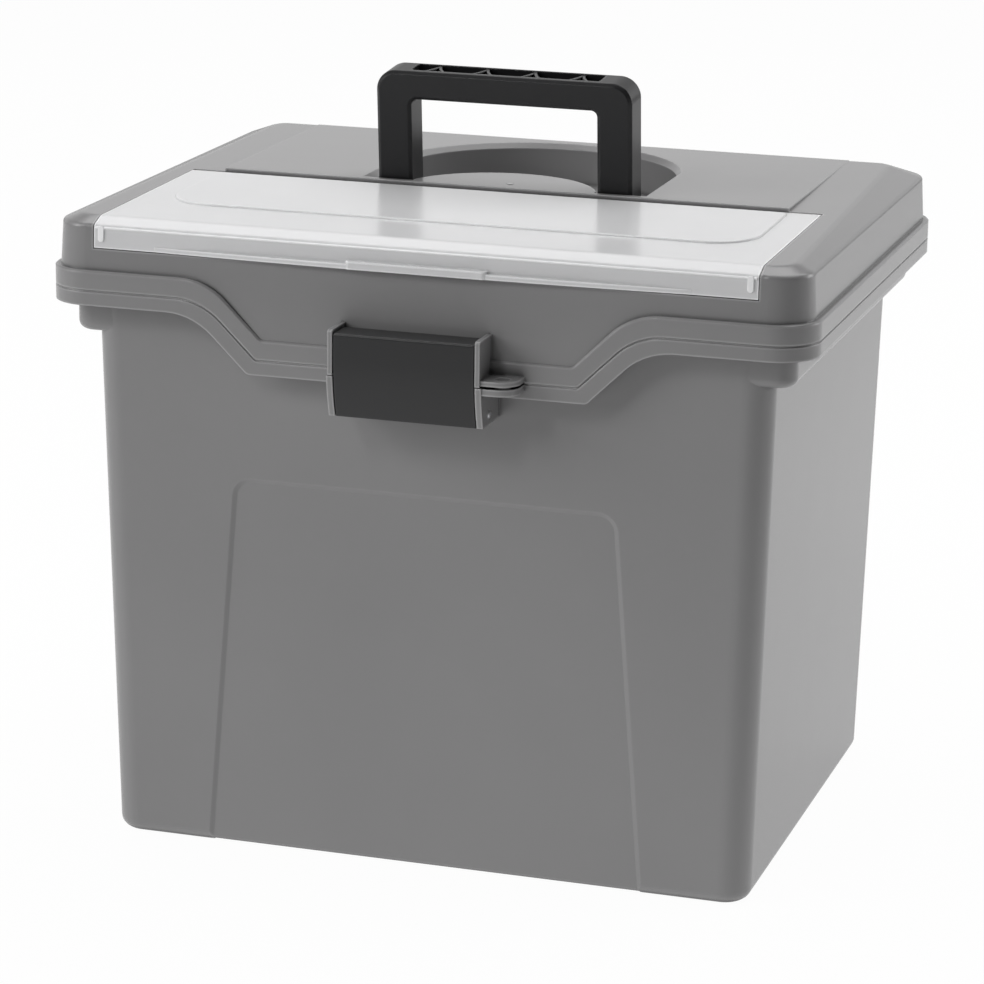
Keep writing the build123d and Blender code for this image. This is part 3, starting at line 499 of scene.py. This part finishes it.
# %% Finishes on the CAD nodes
finishes = {
    "tub": grey_plastic,
    "lid": grey_plastic,
    "organizer_cover": frosted,
    "handle": handle_black,
    "latch": latch_black,
    "latch_pin": steel,
    "left_hinge_pin": steel,
    "right_hinge_pin": steel,
}
for name, material in finishes.items():
    mesh = nodes[name].data
    mesh.materials.clear()
    mesh.materials.append(material)
    print(name, len(mesh.polygons), "triangles:", material.name)

# %% [markdown]
# ## Peened pin ends
#
# The steel pins end in low domes, where a press has spread the wire so that it can't slide
# out. A dome could be an arc spun round the pin. It is also the upper half of a ball,
# flattened, which needs no outline. Here bmesh makes the ball, a plane cuts it in two, and
# the open side is closed again, so that the mesh is a solid.

# %% Pin ends
SIDES = {"left": -1, "right": 1}
DOME_HEIGHT = 0.0006
SUNK = 0.0001  # how far a small piece starts inside what carries it
ROUND_SEGMENTS = 32
QUARTER_TURN = math.pi / 2
CENTRE = (0, 0, 0)


def finished(name, shape, material, body):
    """Makes an object of a bmesh, with its faces outwards, and lets it ride on a body."""
    bmesh.ops.recalc_face_normals(shape, faces=shape.faces)
    mesh = bpy.data.meshes.new(name)
    shape.to_mesh(mesh)
    shape.free()
    piece = bpy.data.objects.new(name, mesh)
    scene.collection.objects.link(piece)
    mesh.materials.append(material)
    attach(piece, body)
    print(name, len(mesh.polygons), "faces on", body)


def pin_dome(node, hand, side):
    """A low dome on one end of a pin that lies along X."""
    low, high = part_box(node)
    middle = (low + high) / 2
    radius = (high.z - low.z) / 2
    shape = bmesh.new()
    bmesh.ops.create_uvsphere(
        shape, u_segments=ROUND_SEGMENTS, v_segments=ROUND_SEGMENTS // 2, radius=radius
    )
    everything = shape.verts[:] + shape.edges[:] + shape.faces[:]
    bmesh.ops.bisect_plane(
        shape, geom=everything, plane_co=CENTRE, plane_no=(0, 0, 1), clear_inner=True
    )
    rim = [e for e in shape.edges if e.is_boundary]
    bmesh.ops.holes_fill(shape, edges=rim, sides=0)
    bmesh.ops.scale(shape, vec=(1, 1, DOME_HEIGHT / radius), verts=shape.verts)
    turn = Matrix.Rotation(side * QUARTER_TURN, 3, "Y")
    bmesh.ops.rotate(shape, cent=CENTRE, matrix=turn, verts=shape.verts)
    end = high.x if side > 0 else low.x
    place = Vector((end - side * SUNK, middle.y, middle.z))
    bmesh.ops.translate(shape, vec=place, verts=shape.verts)
    finished(f"{node}_{hand}_end", shape, steel, "tub")


for node in ("latch_pin", "left_hinge_pin", "right_hinge_pin"):
    for hand, side in SIDES.items():
        pin_dome(node, hand, side)

# %% [markdown]
# ## Small marks on the cover and the lid
#
# Near each end of the cover's bent-down front stands a short post, where the plastic is
# thicker and so looks whiter, and a fine bead runs along the bend. On the lid's tongue is
# the round mark of the gate, where the plastic was injected. All of them start as a circle
# with a filled face. The posts and the mark are thin slips: the circle is pulled long,
# made thick and bevelled round its rim. The bead is the circle drawn out into a rod.

# %% A thin slip and a drawn-out face
RIM_ROUNDING = 0.00015
RIM_STEPS = 3


def drawn_out(shape, step):
    """Extrudes a flat shape by a step; gives the vertices at its far end."""
    raised = bmesh.ops.extrude_face_region(shape, geom=shape.faces[:])["geom"]
    far_end = [v for v in raised if isinstance(v, bmesh.types.BMVert)]
    bmesh.ops.translate(shape, vec=step, verts=far_end)
    return far_end


def slip(radius, length, thickness):
    """A flat stadium on the XY plane: a circle pulled long along Y, with a rounded rim."""
    shape = bmesh.new()
    bmesh.ops.create_circle(shape, cap_ends=True, segments=ROUND_SEGMENTS, radius=radius)
    upper = [v for v in shape.verts if v.co.y > 0]
    bmesh.ops.translate(shape, vec=(0, length, 0), verts=upper)
    top = drawn_out(shape, (0, 0, thickness + SUNK))
    rim = [e for e in shape.edges if all(v in top for v in e.verts)]
    bmesh.ops.bevel(
        shape,
        geom=rim,
        offset=RIM_ROUNDING,
        segments=RIM_STEPS,
        profile=0.5,
        affect="EDGES",
        material=-1,
    )
    return shape


# %% [markdown]
# ## Posts and bead
#
# They have to lie on the cover's front, which leans back a little, as a moulding does so
# that it leaves its mould. The frame gives the place of its lower edge, and the lean gives
# the depth at any height above that.

# %% Posts and bead
DRAFT = math.radians(3.5)  # the cover's front leans back by this much
POST_RADIUS = 0.0014
POST_LENGTH = 0.0045
POST_THICKNESS = 0.0006
POST_MARGIN = 0.0034  # from the cover's end to the middle of the post
POST_RISE = 0.0042  # from the cover's lower edge to the middle of the post's foot
BEAD_RADIUS = 0.0005
BEAD_SEGMENTS = 16
BEAD_MARGIN = 0.0006  # from the cover's end to the bead's
BEAD_RISE = 0.0091  # from the cover's lower edge to the middle of the bead

cover_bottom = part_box("organizer_cover")[0].z
cover_points = [v.co for v in nodes["organizer_cover"].data.vertices]
lowest = [p for p in cover_points if p.z < cover_bottom + SUNK]
cover_half = max(p.x for p in lowest)
front_end = min(p.y for p in lowest if p.x > cover_half - SUNK)
print("cover's front edge:", round(front_end, 4), "half:", round(cover_half, 4))


def cover_face(rise):
    """Depth of the cover's front face at a height above its lower edge."""
    return front_end + rise * math.tan(DRAFT)


def cover_post(hand, side):
    """A short thick post on the cover's front, near one end."""
    shape = slip(POST_RADIUS, POST_LENGTH, POST_THICKNESS)
    upright = Matrix.Rotation(QUARTER_TURN - DRAFT, 3, "X")
    bmesh.ops.rotate(shape, cent=CENTRE, matrix=upright, verts=shape.verts)
    across = side * (cover_half - POST_MARGIN)
    place = Vector((across, cover_face(POST_RISE) + SUNK, cover_bottom + POST_RISE))
    bmesh.ops.translate(shape, vec=place, verts=shape.verts)
    finished(f"cover_{hand}_post", shape, thick_frosted, "organizer_cover")


def cover_bead():
    """A fine bead along the bend between the cover's shoulder and its front."""
    shape = bmesh.new()
    bmesh.ops.create_circle(shape, cap_ends=True, segments=BEAD_SEGMENTS, radius=BEAD_RADIUS)
    drawn_out(shape, (0, 0, 2 * (cover_half - BEAD_MARGIN)))
    along = Matrix.Rotation(QUARTER_TURN, 3, "Y")
    bmesh.ops.rotate(shape, cent=CENTRE, matrix=along, verts=shape.verts)
    place = Vector((BEAD_MARGIN - cover_half, cover_face(BEAD_RISE), cover_bottom + BEAD_RISE))
    bmesh.ops.translate(shape, vec=place, verts=shape.verts)
    finished("cover_bead", shape, thick_frosted, "organizer_cover")


for hand, side in SIDES.items():
    cover_post(hand, side)
cover_bead()

# %% [markdown]
# ## Gate mark
#
# Plastic enters a mould at its gate, and a small disc stays where it was cut off. It lies on
# the highest face of the lid, nearly in the middle between the handle's legs.

# %% Gate mark
GATE_RADIUS = 0.0016
GATE_PLACE = (0.0013, -0.001)
GATE_THICKNESS = 0.0002


def gate_mark():
    """The round mark where the lid's plastic was injected, on its tongue."""
    shape = slip(GATE_RADIUS, 0, GATE_THICKNESS)
    lid_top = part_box("lid")[1].z
    place = Vector((*GATE_PLACE, lid_top - SUNK))
    bmesh.ops.translate(shape, vec=place, verts=shape.verts)
    finished("gate_mark", shape, grey_plastic, "lid")


gate_mark()

# %% [markdown]
# ## View
#
# Colours are shown as they are written, with the Standard view.

# %% View settings
scene.view_settings.view_transform = "Standard"
